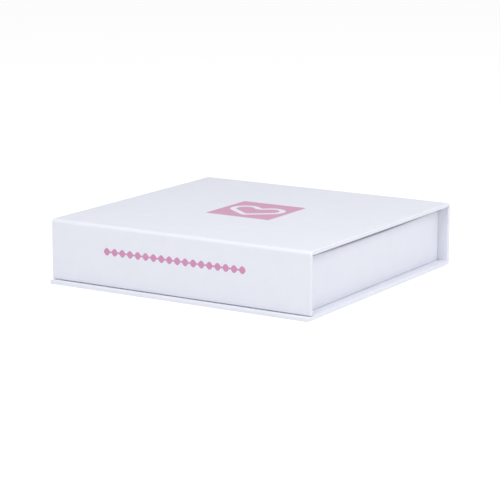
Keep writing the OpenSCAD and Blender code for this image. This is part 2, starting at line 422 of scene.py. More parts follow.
def wrapped_panel(name, paper):
    """The outer paper of one panel: the surface of a rounded block that is open at its creases and
    has a window on its inner face, where the paper ends, as two layers one sheet apart. A lined
    panel gets its corner papers too."""
    width, length, thickness = panel_size(name)
    free = PANELS[name]["free_end"]
    radius, turn = paper.edge_radius, paper.turn_in
    window = width / 2 - turn
    far_between = [length - turn] if free else [length / 2]
    xs = rounding_lines(-width / 2, width / 2, radius, np.linspace(-window, window, 7))
    ys = rounding_lines(0, length, radius, np.array([length / 4, *far_between]), False, free)
    zs = rounding_lines(0, thickness, radius, [thickness / 2])
    inner_face = side_cells(2, thickness, xs, ys, 1)
    middle = inner_face.mean(axis=2)
    turned = np.abs(middle[..., 0]) > window
    if free:
        turned |= middle[..., 1] > length - turn
    cells = [
        side_cells(2, 0, xs, ys, -1),
        side_cells(0, -width / 2, ys, zs, -1),
        side_cells(0, width / 2, ys, zs, 1),
        inner_face[turned],
    ]
    if free:
        cells.append(side_cells(1, length, xs, zs, 1))
    points, faces = weld(cells)
    core_low = [-width / 2 + radius, -np.inf, radius]
    core_high = [width / 2 - radius, length - radius if free else np.inf, thickness - radius]
    outer, edge = rounded(points, core_low, core_high, radius)
    inner = rounded(points, core_low, core_high, radius - paper.sheet)[0]
    points, faces = shell(faces, outer, inner)
    edge = np.tile(EDGE_STRETCH * edge, 2)
    if f"{name}_liner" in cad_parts:
        for more_points, more_faces in corner_papers(name, paper):
            faces = np.vstack([faces, more_faces + len(points)])
            points = np.vstack([points, more_points])
            edge = np.concatenate([edge, np.zeros(len(more_points))])
    return place_on_panel(name, points), faces, edge


def crease_sheet(node, paper, steps=18):
    """The paper and lining that bend between two panels, glued to each other. Round the bend its
    outer face is a quarter circle with a short flat on each side. Across the case its depth from
    the bend's centre is even, turns down on a quarter circle like the panels' edges, and runs in
    towards the centre, where the paper is folded in at the two ends."""
    low, high = corners_of(node)
    first, second = CREASES[node]["first"], CREASES[node]["second"]
    bend = panel_size("lid")[2] - paper.sheet
    slack = abs((high - low) @ first) - bend
    inner_corner = np.where(first + second > 0, low, high)
    centre = inner_corner * [0, 1, 1] + slack * (first + second)
    angle = np.linspace(0, math.pi / 2, steps + 1)
    out = np.cos(angle)[:, None] * first + np.sin(angle)[:, None] * second
    out = np.vstack([first, out, second])
    bend_centres = np.tile(centre, (steps + 1, 1))
    middle = np.vstack([centre - slack * second, bend_centres, centre - slack * first])

    # each column: its place across, its depth, the ways out across and in depth, and its stretch
    radius = paper.edge_radius
    half = (high[0] - low[0]) / 2
    lean = np.linspace(0, math.pi / 2, 7)
    flat = np.array([[half * share, bend, 0, 1, 0] for share in [0.25, 0.5, 0.75]])
    corner = np.column_stack([
        half - radius + radius * np.sin(lean), bend - radius + radius * np.cos(lean),
        np.sin(lean), np.cos(lean), np.sin(2 * lean),
    ])
    folded = [[half, depth, 1, 0, 0] for depth in np.linspace(bend - radius, paper.fold_hole, 5)[1:]]
    right = np.vstack([flat, corner, folded])
    columns = np.vstack([right[::-1] * [-1, 1, -1, 1, 1], right])
    across, depth, way_across, way_out, stretch = columns.T

    def layer(inset):
        """The sheet's face at that distance under its outer face."""
        deep = (depth - inset * way_out)[None, :, None] * out[:, None]
        wide = (across - inset * way_across)[None, :, None] * X
        return (middle[:, None] + deep + wide).reshape(-1, 3)

    # the crease's stretch paints the middle of the bend paler: a painted highlight along the fold
    bend_highlight = np.concatenate([[0], CREASES[node]["stretch"] * np.sin(2 * angle), [0]])
    edge = np.maximum(stretch, bend_highlight[:, None] * way_out).ravel()
    faces = grid_faces(len(out), len(columns))
    points, faces = shell(faces, layer(0), layer(2 * paper.sheet))
    return points, faces, np.tile(edge, 2)


def groove_paper(paper):
    """The turned-in paper over the groove between the base and the spine. Its face is a hollow
    quarter circle from the base's inner face up to the spine's, and its back fills the groove's
    square corner: the same ways out, each divided by the larger of its two parts."""
    low, high = corners_of("base_wrap")
    spine_low = corners_of("spine_wrap")[0]
    radius = spine_low[2] - high[2]
    centre = np.array([0, high[1], spine_low[2]])
    angle = np.linspace(0, math.pi / 2, 9)
    way = np.sin(angle)[:, None] * Y - np.cos(angle)[:, None] * Z
    square_way = way / np.abs(way).max(axis=1, keepdims=True)
    places = np.linspace(low[0], high[0], 9)
    across = places[None, :, None] * X
    face = (centre + radius * way[:, None] + across).reshape(-1, 3)
    back = (centre + (radius + paper.sheet) * square_way[:, None] + across).reshape(-1, 3)
    return shell(grid_faces(len(angle), len(places)), face, back)


def lining_profile(name, paper, ramp):
    """The rows of a lining's profile along its panel: for each its place, its level, and the way out
    in both. It climbs the board's edge at a crease, turns onto the inner face on a quarter circle,
    and ends at the other crease in the same way, or at its margin from the panel's free end."""
    width, length, thickness = panel_size(name)
    free = PANELS[name]["free_end"]
    margin = (width - size_of(f"{name}_liner")[0]) / 2
    bend = 2 * paper.sheet
    start = -paper.sheet
    end = length - margin if free else length + paper.sheet
    foot, face = 2 * paper.sheet, thickness + paper.sheet
    angle = np.linspace(0, math.pi / 2, 7)
    leg = [[start, foot, -1, 0]]
    corner = np.column_stack([
        start + bend - bend * np.cos(angle), face - bend + bend * np.sin(angle),
        -np.cos(angle), np.sin(angle),
    ])
    flat_start = start + 2 * bend
    if free:
        far_edge = length - paper.turn_in
        to_ramp = np.linspace(flat_start, far_edge - paper.step_width, 6)
        flat = np.concatenate([to_ramp, far_edge - ramp[-2::-1], [end]])
    else:
        flat = np.linspace(flat_start, end - 2 * bend, 6)
    middle = np.tile([0, face, 0, 1], (len(flat), 1))
    middle[:, 0] = flat
    rows = np.vstack([leg, corner, middle])
    if free:
        return rows
    mirrored = np.vstack([leg, corner])[::-1] * [-1, 1, -1, 1] + [start + end, 0, 0, 0]
    return np.vstack([rows, mirrored])


def lining_sheet(name, paper):
    """The lining of one panel: its profile carried across the panel. It sinks by one sheet, in a
    smooth step, where the turned-in paper under it ends."""
    width, length, thickness = panel_size(name)
    window = width / 2 - paper.turn_in
    ramp = paper.step_width * np.linspace(0, 1, 9)
    rows = lining_profile(name, paper, ramp)

    # the columns: their places across, closest together where the sheet sinks at the window
    half = size_of(f"{name}_liner")[0] / 2
    even_half = window - 5 * MM
    even = np.linspace(-even_half, even_half, 7)
    xs = np.concatenate([[-half], ramp - window, even, window - ramp[::-1], [half]])
    y, x = np.meshgrid(rows[:, 0], xs, indexing="ij")
    sunk = smooth_step(window - np.abs(x), 0, paper.step_width)
    if PANELS[name]["free_end"]:
        sunk = sunk * smooth_step(length - paper.turn_in - y, 0, paper.step_width)
    face = thickness + paper.sheet
    level = rows[:, 1:2] * (1 - paper.sheet * sunk / face)
    outer = np.stack([x, y, level], axis=2)
    way_out = rows[:, 2:] @ np.array([Y, Z])
    inner = outer - paper.sheet * way_out[:, None]
    points, faces = shell(grid_faces(*x.shape), outer.reshape(-1, 3), inner.reshape(-1, 3))
    return place_on_panel(name, points), faces


# ---- the tray -------------------------------------------------------------------------------

TRAY_WALL = panel_size("base")[2]  # a wrapped wall is as thick as a wrapped panel


def tray_profile(paper):
    """The rows of the tray paper's profile: for each its depth inside the tray's side, its level, and
    the way out in both. It runs out under the floor, round the foot on a quarter circle, up the wall,
    over the rim on two more, and down inside."""
    low, high = corners_of("tray_wrap")
    bottom, rim = low[2], high[2]
    floor_top = corners_of("tray_floor")[1][2]
    radius = paper.tray_radius
    quarter = np.linspace(0, math.pi / 2, 7)
    sine, cosine = np.sin(quarter), np.cos(quarter)
    under = [[paper.turn_in, bottom, 0, -1], [paper.turn_in / 2, bottom, 0, -1]]
    foot = np.column_stack([
        radius - radius * sine, bottom + radius - radius * cosine, -sine, -cosine,
    ])
    levels = np.linspace(bottom + radius, rim - radius, 8)[1:-1]
    outside = np.tile([0.0, 0.0, -1.0, 0.0], (len(levels), 1))
    outside[:, 1] = levels
    rim_out = np.column_stack([
        radius - radius * cosine, rim - radius + radius * sine, -cosine, sine,
    ])
    rim_in = rim_out[::-1] * [-1, 1, -1, 1] + [TRAY_WALL, 0, 0, 0]
    inside = [[TRAY_WALL, floor_top + paper.sheet, 1, 0]]
    return np.vstack([under, foot, outside, rim_out, rim_in, inside])


def tray_paper(paper):
    """The strip of paper round the tray: its profile carried round the tray's four sides. The foam
    pushes out the left and right rims by one minus the square of the way from their middle, and the
    rim rises smoothly towards the spine and the flap."""
    low, high = corners_of("tray_wrap")
    bottom, rim = low[2], high[2]
    half_tray = (high[1] - low[1]) / 2
    radius = paper.tray_radius
    profile = tray_profile(paper)

    # the path: round the four sides, and round the corner after each, with the way that each side
    # faces, the way that it runs, how far along it each point is, and the way out there
    even = np.linspace(-1, 1, 21)
    turn = np.linspace(0, math.pi / 2, 6)[1:-1]
    side = np.repeat(np.arange(4), len(even) + len(turn))
    facing = np.array([[1, 0], [0, 1], [-1, 0], [0, -1]])[side]
    running = facing[:, ::-1] * [-1, 1]
    along = np.tile(np.concatenate([even, np.ones(len(turn))]), 4)
    way = side * math.pi / 2 + np.tile(np.concatenate([np.zeros(len(even)), turn]), 4)
    way_out = np.stack([np.cos(way), np.sin(way)], axis=1)
    bow = (1 - along ** 2) * facing[:, 0]
    back_start, front_start = 0.1, 0.6  # where the rim begins to rise, from its middle to its ends
    height = np.clip((profile[:, 1] - bottom) / (rim - bottom), 0, 1)[:, None]

    def carried(inset):
        """The profile moved inwards by the inset and carried along the path."""
        depth = profile[:, 0] - inset * profile[:, 2]
        level = profile[:, 1] - inset * profile[:, 3]
        corner = (radius + INNER_CORNER - np.minimum(depth, radius))[:, None, None]
        half = (high - low)[:2] / 2 - depth[:, None, None] - corner
        place = half * (facing + along[:, None] * running) + corner * way_out
        push = paper.tray_bow * bow * (1 - np.clip(profile[:, 0] / TRAY_WALL, 0, 1))[:, None]
        place[..., 0] += push * height
        backwards = place[..., 1] / half_tray
        rise = paper.back_rise * smooth_step(backwards, back_start, 1)
        rise += paper.front_rise * smooth_step(-backwards, front_start, 1)
        place += (low + high)[:2] / 2
        return np.dstack([place, level[:, None] + rise * height])

    outer, inner = carried(0).reshape(-1, 3), carried(paper.sheet).reshape(-1, 3)
    faces = grid_faces(len(profile), len(way), closed_columns=True)
    points, faces = shell(faces, outer, inner)
    slope = 1 - np.abs(profile[:, 2:]).max(axis=1)
    edge = np.repeat(np.clip(slope / (1 - math.sqrt(0.5)), 0, 1), len(way))
    return points, faces, np.tile(edge, 2)


# ---- the stone and the foam -----------------------------------------------------------------


def heart_outline(width, depth, stone, spacing):
    """The stone in plan, anticlockwise from its cleft, about the middle of its box, with the way out
    at each point. Half of it is three tangent arcs and one straight: the cleft's hollow arc, a lobe,
    the straight that touches both the lobe and the tip, and half of the tip."""
    lobe, tip, cleft = stone.lobe_radius, stone.tip_radius, stone.cleft_radius
    lobe_at = np.array([width / 2 - lobe, depth / 2 - lobe])
    tip_at = np.array([0.0, tip - depth / 2])
    cleft_at = np.array([0.0, lobe_at[1] + math.sqrt((lobe + cleft) ** 2 - lobe_at[0] ** 2)])
    gap = lobe_at - tip_at
    touch = math.atan2(gap[1], gap[0]) - math.acos((tip - lobe) / np.linalg.norm(gap))
    meet = math.atan2(cleft_at[1] - lobe_at[1], cleft_at[0] - lobe_at[0])

    def arc(centre, radius, start, end, way):
        """An arc's points, each with the way out, or with the way in where the way is -1."""
        count = max(4, round(abs(end - start) * radius / spacing))
        angle = np.linspace(start, end, count, endpoint=False)
        out = np.column_stack([np.cos(angle), np.sin(angle)])
        return np.hstack([centre + radius * out, way * out])

    hollow = arc(cleft_at, cleft, -math.pi / 2, meet - math.pi, -1)
    round_lobe = arc(lobe_at, lobe, meet, touch, 1)
    out = np.array([math.cos(touch), math.sin(touch)])
    count = round(np.linalg.norm(gap) / spacing)
    share = np.linspace(0, 1, count, endpoint=False)[:, None]
    ends = lobe_at + lobe * out, tip_at + tip * out
    straight = np.hstack([ends[0] * (1 - share) + ends[1] * share, np.tile(out, (count, 1))])
    round_tip = arc(tip_at, tip, touch, -math.pi / 2, 1)
    right = np.vstack([hollow, round_lobe, straight, round_tip])
    last = np.array([[0.0, -depth / 2, 0.0, -1.0]])
    left = right[1:][::-1] * [-1, 1, -1, 1]
    return np.vstack([right, last, left])[::-1]


def cap(ring, pole):
    """Closes a ring with an even number of points: each face takes three of them and the pole."""
    first, second, third = ring[0::2], ring[1::2], np.roll(ring, -2)[0::2]
    return np.column_stack([first, second, third, np.full(len(first), pole)])


def stone_surface(stone):
    """The polished stone. Its edge is its outline moved inwards along the way out and raised on a
    quarter circle. Its two faces are that line drawn in to a hub, and they swell by a square law."""
    low, high = corners_of("gua_sha_stone")
    size, middle = high - low, (low + high) / 2
    outline = heart_outline(size[0], size[1], stone, OUTLINE_STEP)
    place, out = outline[:, :2], outline[:, 2:]
    half_height, polish, swell = size[2] / 2, stone.polish, stone.swell
    hub = np.array([0.0, 2 * MM])  # a little behind the middle, where the heart is wider
    brow = place - polish * out
    turn = np.linspace(0, math.pi / 2, 11)
    wall_top = half_height - swell - polish
    edge = [(place - polish * (1 - math.cos(a)) * out, wall_top + polish * math.sin(a)) for a in turn]
    shares = np.linspace(1, 0.08, 13)[1:]
    face = [(hub + share * (brow - hub), half_height - swell * share ** 2) for share in shares]
    lines = [np.column_stack([flat, np.full(len(flat), level)]) for flat, level in edge + face]
    upper = np.array(lines)
    rings = np.concatenate([upper[::-1] * [1, 1, -1], upper])
    rows, columns = rings.shape[:2]
    poles = np.array([[*hub, -half_height], [*hub, half_height]])
    points = np.vstack([rings.reshape(-1, 3), poles]) + middle
    first, last = np.arange(columns), np.arange(columns) + (rows - 1) * columns
    bottom_pole, top_pole = rows * columns, rows * columns + 1
    sides = grid_faces(rows, columns, closed_columns=True)
    return points, np.vstack([sides, cap(first, bottom_pole)[:, ::-1], cap(last, top_pole)])


def reach_of(outline, angle):
    """How far an outline lies from the middle in each direction: the distances of its points, read
    off evenly between the directions of two neighbours."""
    around = np.arctan2(outline[:, 1], outline[:, 0])
    return np.interp(angle, around, np.hypot(outline[:, 0], outline[:, 1]), period=2 * math.pi)


def softer_of(first, second, blend):
    """The larger of two lengths, rounded off where they cross: half of their sum and of the root of
    their difference squared plus the blend squared."""
    return (first + second + np.sqrt((first - second) ** 2 + blend ** 2)) / 2


def foam_frame_surface(foam, stone):
    """The cut-out foam as a closed ring: up the wall of the recess, round its lip, over the face to
    the outer edge, down the outside and back underneath, in each direction from the middle. The
    recess is the stone's outline moved out by the gap, joined with the two round finger notches."""
    low, high = corners_of("foam_frame")
    size, half, middle = size_of("gua_sha_stone"), (high - low) / 2, (low + high) / 2
    angle = np.linspace(-math.pi, math.pi, 720, endpoint=False)
    way = np.column_stack([np.cos(angle), np.sin(angle)])
    outline = heart_outline(size[0], size[1], stone, OUTLINE_STEP / 2)
    outline[:, :2] += foam.recess_gap * outline[:, 2:]
    recess = reach_of(outline, angle)
    for side in [-1, 1]:
        notch = np.array([side * size[0] / 2, foam.notch_back])
        along = way @ notch
        inside = foam.notch_radius ** 2 - notch @ notch + along ** 2
        far_side = np.where((inside > 0) & (along > 0), along + np.sqrt(np.maximum(inside, 0)), 0)
        recess = softer_of(recess, far_side, foam.notch_blend)
    # the outer edge is a superellipse, so square that its corners are nearly sharp
    squareness = 60
    outside = (np.abs(way / half[:2]) ** squareness).sum(axis=1) ** (-1 / squareness)

    # each row: how far it reaches in every direction, and its level
    lip, bottom, top = foam.lip, low[2], high[2]
    turn = np.linspace(0, math.pi / 2, 6)
    shares = np.linspace(0, 1, 14)[1:-1]
    rows = [(recess, level) for level in np.linspace(bottom, top - lip, 6)[:-1]]
    for a in turn:
        rows.append((recess + lip * (1 - math.cos(a)), top - lip * (1 - math.sin(a))))
    for t in shares:
        rows.append(((recess + lip) * (1 - t) + (outside - lip) * t, top - foam.sag * 4 * t * (1 - t)))
    for a in turn[::-1]:
        rows.append((outside - lip * (1 - math.cos(a)), top - lip * (1 - math.sin(a))))
    rows += [(outside, level) for level in np.linspace(top - lip, bottom, 5)[1:]]
    rows += [(recess * (1 - t) + outside * t, bottom) for t in [2 / 3, 1 / 3]]
    grid = [np.column_stack([reach[:, None] * way, np.full(len(way), level)]) for reach, level in rows]
    points = np.concatenate(grid) + middle * [1, 1, 0]
    return points, grid_faces(len(rows), len(angle), closed_rows=True, closed_columns=True)


def foam_pad_surface(foam):
    """The lower foam: a block with all its edges rounded."""
    low, high = corners_of("foam_pad")
    lines = [
        rounding_lines(low[i], high[i], foam.lip, np.linspace(low[i], high[i], count)[1:-1])
        for i, count in enumerate([13, 13, 4])
    ]
    points, faces = weld(block_cells(lines))
    return rounded(points, low + foam.lip, high - foam.lip, foam.lip)[0], faces


# ---- the prints -----------------------------------------------------------------------------


def lid_print(settings, stone):
    """A square with a bare heart-shaped line in it. In each direction from the middle the square
    runs from the heart's outer line to its own side, and a smaller heart lies inside."""
    low, high = corners_of("lid_wrap")
    size = size_of("gua_sha_stone")
    middle = (low + high)[:2] / 2 + [settings.square_right, settings.square_back]
    angle = np.linspace(-math.pi, math.pi, 360, endpoint=False)
    way = np.column_stack([np.cos(angle), np.sin(angle)])
    scale = settings.heart_height / size[1]
    heart = heart_outline(size[0], size[1], stone, OUTLINE_STEP)
    outer_line = heart[:, :2] * scale - [0, settings.heart_front]
    outer_heart = reach_of(outer_line, angle)
    inner_heart = reach_of(outer_line - settings.heart_line * heart[:, 2:], angle)
    side = settings.square / 2 / np.abs(way).max(axis=1)
    reaches = [outer_heart, side, inner_heart, inner_heart / 2]
    rings = [reach[:, None] * way for reach in reaches]
    flat = np.vstack([*rings, [[0.0, 0.0]]]) + middle
    count = len(angle)
    band = grid_faces(2, count, closed_columns=True)
    core = np.arange(3 * count, 4 * count)
    faces = np.vstack([band, band[:, ::-1] + 2 * count, cap(core, 4 * count)])
    under = np.column_stack([flat, np.full(len(flat), high[2])])
    return shell(faces, under + settings.film * Z, under)


def flap_print(settings):
    """A row of lozenges with a dot between each two. Every one is a superellipse about its own
    middle: a power of the cosine across and the same power of the sine upwards."""
    front = corners_of("flap_wrap")[0][1]
    pitch = settings.row_length / (settings.lozenges - 1 + 2 * settings.lozenge_share)
    angle = np.linspace(0, 2 * math.pi, 24, endpoint=False)

    def outline(half_width, half_height, power):
        """One mark about its own middle."""
        cosine, sine = np.cos(angle), np.sin(angle)
        return np.column_stack([
            half_width * np.sign(cosine) * np.abs(cosine) ** power,
            half_height * np.sign(sine) * np.abs(sine) ** power,
        ])

    lozenge = outline(pitch * settings.lozenge_share, settings.row_height / 2, 1.3)
    dot = outline(pitch * settings.dot_share, pitch * settings.dot_share, 1.0)
    marks = np.arange(2 * settings.lozenges - 1)
    shapes = np.where(marks[:, None, None] % 2 == 0, lozenge, dot)
    along = (marks - marks.mean()) * pitch / 2 - settings.row_left
    middles = np.column_stack([along, np.full(len(marks), settings.row_level)])
    hubs = np.zeros((len(marks), 1, 2))
    flat = np.concatenate([shapes, hubs], axis=1) + middles[:, None]
    one = cap(np.arange(len(angle)), len(angle))
    faces = (one + (marks * (len(angle) + 1))[:, None, None]).reshape(-1, 4)
    flat = flat.reshape(-1, 2)
    under = np.column_stack([flat[:, 0], np.full(len(flat), front), flat[:, 1]])
    return shell(faces, under - settings.film * Y, under)


# ---- materials ------------------------------------------------------------------------------


def paper_material(name, tint, roughness):
    """Matt laminated paper: cloudy tone from the pulp, a soft tooth, sheen that changes from patch
    to patch, edges that are paler where the paper stretches round a board, and a painted highlight
    along the middle of a crease's bend, read from the same attribute."""
    material = bpy.data.materials.new(name)
    material.use_nodes = True
    nodes, links = material.node_tree.nodes, material.node_tree.links
    nodes.clear()

    tone = nodes.new("NodeFrame")
    tone.label = "Tone of the pulp"
    tooth = nodes.new("NodeFrame")
    tooth.label = "Tooth of the surface"
    wear = nodes.new("NodeFrame")
    wear.label = "Stretched edges and painted highlight"

    place = nodes.new("ShaderNodeTexCoord")
    place.label = "Place on the box"
    place.location = (-1300, 0)

    cloud = nodes.new("ShaderNodeTexNoise")
    cloud.label = "Cloudy pulp"
    cloud.location = (-1050, 250)
    cloud.parent = tone
    cloud.inputs["Scale"].default_value = 130.0
    cloud.inputs["Detail"].default_value = 5.0
    cloud.inputs["Roughness"].default_value = 0.6

    cloud_range = nodes.new("ShaderNodeMapRange")
    cloud_range.label = "Depth of the clouds"
    cloud_range.location = (-850, 250)
    cloud_range.parent = tone
    cloud_range.inputs["From Min"].default_value = 0.3
    cloud_range.inputs["From Max"].default_value = 0.7

    pulp = nodes.new("ShaderNodeMix")
    pulp.label = "Pale and shaded paper"
    pulp.data_type = "RGBA"
    pulp.location = (-650, 250)
    pulp.parent = tone
    pulp.inputs["A"].default_value = (*[c * 0.985 for c in tint], 1.0)
    pulp.inputs["B"].default_value = (*[min(1.0, c * 1.012) for c in tint], 1.0)

    # the edge attribute: how far round a board's edge the paper stretches, and along a crease's bend a
    # painted highlight
    stretch_and_highlight = nodes.new("ShaderNodeAttribute")
    stretch_and_highlight.label = "How far round an edge"
    stretch_and_highlight.attribute_name = "edge"
    stretch_and_highlight.location = (-1050, -50)
    stretch_and_highlight.parent = wear

    edge_and_highlight_share = nodes.new("ShaderNodeMath")
    edge_and_highlight_share.label = "Strength of the edges"
    edge_and_highlight_share.operation = "MULTIPLY"
    edge_and_highlight_share.location = (-850, -50)
    edge_and_highlight_share.parent = wear
    edge_and_highlight_share.inputs[1].default_value = 0.5

    # paler tone: paper paled where it stretches over board edges, and a painted highlight along the
    # creases' bends
    pale_edge_and_highlight = nodes.new("ShaderNodeMix")
    pale_edge_and_highlight.label = "Paler edges and painted highlight"
    pale_edge_and_highlight.data_type = "RGBA"
    pale_edge_and_highlight.location = (-400, 150)
    pale_edge_and_highlight.parent = wear
    pale_edge_and_highlight.inputs["B"].default_value = (*[1 - (1 - c) * 0.45 for c in tint], 1.0)

    film = nodes.new("ShaderNodeTexNoise")
    film.label = "Patches in the lamination"
    film.location = (-1050, -300)
    film.parent = tooth
    film.inputs["Scale"].default_value = 45.0
    film.inputs["Detail"].default_value = 3.0

    film_range = nodes.new("ShaderNodeMapRange")
    film_range.label = "Sheen from patch to patch"
    film_range.location = (-850, -300)
    film_range.parent = tooth
    film_range.inputs["To Min"].default_value = roughness - 0.05
    film_range.inputs["To Max"].default_value = roughness + 0.05

    fibre = nodes.new("ShaderNodeTexNoise")
    fibre.label = "Fine tooth"
    fibre.location = (-1050, -550)
    fibre.parent = tooth
    fibre.inputs["Scale"].default_value = 5200.0
    fibre.inputs["Detail"].default_value = 4.0

    relief = nodes.new("ShaderNodeBump")
    relief.label = "Relief of the tooth"
    relief.location = (-400, -450)
    relief.parent = tooth
    relief.inputs["Strength"].default_value = 0.35
    relief.inputs["Distance"].default_value = 0.000008

    surface = nodes.new("ShaderNodeBsdfPrincipled")
    surface.label = "Laminated paper"
    surface.location = (-100, 100)
    surface.inputs["IOR"].default_value = 1.45
    surface.inputs["Specular IOR Level"].default_value = 0.35
    surface.inputs["Sheen Weight"].default_value = 0.04
    surface.inputs["Sheen Roughness"].default_value = 0.6

    result = nodes.new("ShaderNodeOutputMaterial")
    result.location = (250, 100)

    links.new(place.outputs["Object"], cloud.inputs["Vector"])
    links.new(place.outputs["Object"], film.inputs["Vector"])
    links.new(place.outputs["Object"], fibre.inputs["Vector"])
    links.new(cloud.outputs["Fac"], cloud_range.inputs["Value"])
    links.new(cloud_range.outputs["Result"], pulp.inputs["Factor"])
    links.new(stretch_and_highlight.outputs["Fac"], edge_and_highlight_share.inputs[0])
    links.new(edge_and_highlight_share.outputs["Value"], pale_edge_and_highlight.inputs["Factor"])
    links.new(pulp.outputs["Result"], pale_edge_and_highlight.inputs["A"])
    links.new(pale_edge_and_highlight.outputs["Result"], surface.inputs["Base Color"])
    links.new(film.outputs["Fac"], film_range.inputs["Value"])
    links.new(film_range.outputs["Result"], surface.inputs["Roughness"])
    links.new(fibre.outputs["Fac"], relief.inputs["Height"])
    links.new(relief.outputs["Normal"], surface.inputs["Normal"])
    links.new(surface.outputs["BSDF"], result.inputs["Surface"])
    return material


def ink_material(name, tint):
    """Offset ink on the laminated paper: a fine screen of dots in an uneven coat, under a film with
    the same tooth as the paper's."""
    material = bpy.data.materials.new(name)
    material.use_nodes = True
    nodes, links = material.node_tree.nodes, material.node_tree.links
    nodes.clear()

    printed = nodes.new("NodeFrame")
    printed.label = "Printed ink"
    film = nodes.new("NodeFrame")
    film.label = "Film over the ink"

    place = nodes.new("ShaderNodeTexCoord")
    place.label = "Place on the box"
    place.location = (-1100, 0)

    screen = nodes.new("ShaderNodeTexVoronoi")
    screen.label = "Screen of dots"
    screen.location = (-900, 300)
    screen.parent = printed
    screen.inputs["Scale"].default_value = 5500.0

    density = nodes.new("ShaderNodeTexNoise")
    density.label = "Uneven ink"
    density.location = (-900, 50)
    density.parent = printed
    density.inputs["Scale"].default_value = 260.0
    density.inputs["Detail"].default_value = 4.0

    together = nodes.new("ShaderNodeMath")
    together.label = "Dots and unevenness"
    together.operation = "MULTIPLY"
    together.location = (-680, 200)
    together.parent = printed

    ink = nodes.new("ShaderNodeMix")
    ink.label = "Full and thin ink"
    ink.data_type = "RGBA"
    ink.location = (-460, 200)
    ink.parent = printed
    ink.inputs["A"].default_value = (*[c * 0.97 for c in tint], 1.0)
    ink.inputs["B"].default_value = (*[1 - (1 - c) * 0.9 for c in tint], 1.0)

    tooth = nodes.new("ShaderNodeTexNoise")
    tooth.label = "Tooth of the paper"
    tooth.location = (-900, -300)
    tooth.parent = film
    tooth.inputs["Scale"].default_value = 5200.0
    tooth.inputs["Detail"].default_value = 4.0

    relief = nodes.new("ShaderNodeBump")
    relief.label = "Relief of the tooth"
    relief.location = (-460, -300)
    relief.parent = film
    relief.inputs["Strength"].default_value = 0.3
    relief.inputs["Distance"].default_value = 0.000008

    surface = nodes.new("ShaderNodeBsdfPrincipled")
    surface.label = "Printed paper"
    surface.location = (-200, 100)
    surface.inputs["Roughness"].default_value = 0.45
    surface.inputs["IOR"].default_value = 1.45
    surface.inputs["Specular IOR Level"].default_value = 0.35

    result = nodes.new("ShaderNodeOutputMaterial")
    result.location = (100, 100)

    links.new(place.outputs["Object"], screen.inputs["Vector"])
    links.new(place.outputs["Object"], density.inputs["Vector"])
    links.new(place.outputs["Object"], tooth.inputs["Vector"])
    links.new(screen.outputs["Distance"], together.inputs[0])
    links.new(density.outputs["Fac"], together.inputs[1])
    links.new(together.outputs["Value"], ink.inputs["Factor"])
    links.new(ink.outputs["Result"], surface.inputs["Base Color"])
    links.new(tooth.outputs["Fac"], relief.inputs["Height"])
    links.new(relief.outputs["Normal"], surface.inputs["Normal"])
    links.new(surface.outputs["BSDF"], result.inputs["Surface"])
    return material


